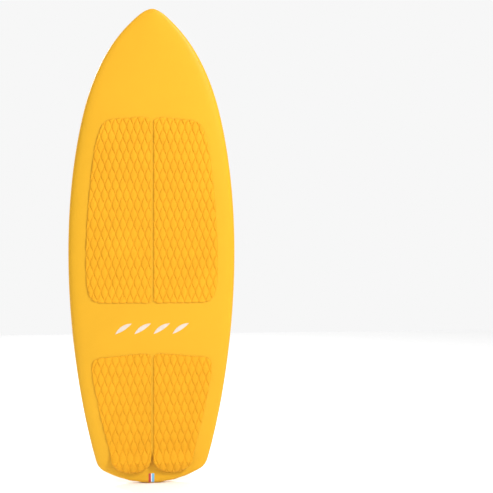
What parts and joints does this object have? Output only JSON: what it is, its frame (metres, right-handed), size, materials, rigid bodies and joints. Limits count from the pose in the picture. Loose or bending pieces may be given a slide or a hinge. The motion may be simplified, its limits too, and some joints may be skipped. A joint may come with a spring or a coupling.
{
  "type": "surfboard",
  "caption": "Short rounded-tail surfboard with foam core, stringer, laminate skins, moulded fin boxes with pull-out fins, grub screws and grooved traction pads with a tail kick.",
  "frame": {"origin": "centre of the bounding box's lower face, at the tail end of the board", "axes": "+Z from the tail to the nose, the deck faces -Y, the bottom and its fins face +Y, +X to the right when looking at the deck"},
  "size_m": [0.506, 0.2043, 1.4227],
  "materials": {
    "board_yellow": "satin",
    "foam": "matte",
    "plywood": "matte",
    "box_white": "satin",
    "screw_steel": "satin",
    "fin_white": "satin",
    "adhesive": "satin",
    "eva_pad": "matte",
    "stripe_red": "satin",
    "stripe_white": "satin",
    "stripe_blue": "satin",
    "emblem_cream": "satin"
  },
  "bodies": {
    "board": {"bottom_skin": "board_yellow", "deck_skin": "board_yellow", "core_left": "foam", "core_right": "foam", "stringer": "plywood", "centre_fin_box": "box_white", "left_side_fin_box": "box_white", "left_quad_fin_box": "box_white", "right_side_fin_box": "box_white", "right_quad_fin_box": "box_white", "front_pad_left": "eva_pad", "front_pad_right": "eva_pad", "front_pad_film_left": "adhesive", "front_pad_film_right": "adhesive", "rear_pad_left": "eva_pad", "rear_pad_right": "eva_pad", "rear_pad_film_left": "adhesive", "rear_pad_film_right": "adhesive", "kick_wedge_left": "eva_pad", "kick_wedge_right": "eva_pad", "tail_stripe_red": "stripe_red", "tail_stripe_white": "stripe_white", "tail_stripe_blue": "stripe_blue", "deck_emblem": "emblem_cream", "bottom_emblem": "emblem_cream"},
    "left_side_fin_body": {"left_side_fin": "fin_white"},
    "left_side_screw_body": {"left_side_fin_screw": "screw_steel"},
    "left_quad_fin_body": {"left_quad_fin": "fin_white"},
    "left_quad_screw_body": {"left_quad_fin_screw": "screw_steel"},
    "right_side_fin_body": {"right_side_fin": "fin_white"},
    "right_side_screw_body": {"right_side_fin_screw": "screw_steel"},
    "right_quad_fin_body": {"right_quad_fin": "fin_white"},
    "right_quad_screw_body": {"right_quad_fin_screw": "screw_steel"}
  },
  "joints": [
    {"name": "left_side_fin_pull", "type": "slide", "parent": "board", "child": "left_side_fin_body", "axis": [-0.0523, 0.9976, -0.0452], "range_m": [0, 0.03]},
    {"name": "left_side_screw_turn", "type": "hinge", "parent": "board", "child": "left_side_screw_body", "pos_m": [-0.18385, -0.00296, 0.39507], "axis": [-0.0247, 0.7381, 0.6743], "continuous": true},
    {"name": "left_quad_fin_pull", "type": "slide", "parent": "board", "child": "left_quad_fin_body", "axis": [-0.0349, 0.9964, -0.0767], "range_m": [0, 0.03]},
    {"name": "left_quad_screw_turn", "type": "hinge", "parent": "board", "child": "left_quad_screw_body", "pos_m": [-0.13035, -0.01012, 0.22644], "axis": [-0.0123, 0.7593, 0.6506], "continuous": true},
    {"name": "right_side_fin_pull", "type": "slide", "parent": "board", "child": "right_side_fin_body", "axis": [0.0523, 0.9976, -0.0452], "range_m": [0, 0.03]},
    {"name": "right_side_screw_turn", "type": "hinge", "parent": "board", "child": "right_side_screw_body", "pos_m": [0.18385, -0.00296, 0.39507], "axis": [0.0247, 0.7381, 0.6743], "continuous": true},
    {"name": "right_quad_fin_pull", "type": "slide", "parent": "board", "child": "right_quad_fin_body", "axis": [0.0349, 0.9964, -0.0767], "range_m": [0, 0.03]},
    {"name": "right_quad_screw_turn", "type": "hinge", "parent": "board", "child": "right_quad_screw_body", "pos_m": [0.13035, -0.01012, 0.22644], "axis": [0.0123, 0.7593, 0.6506], "continuous": true}
  ]
}
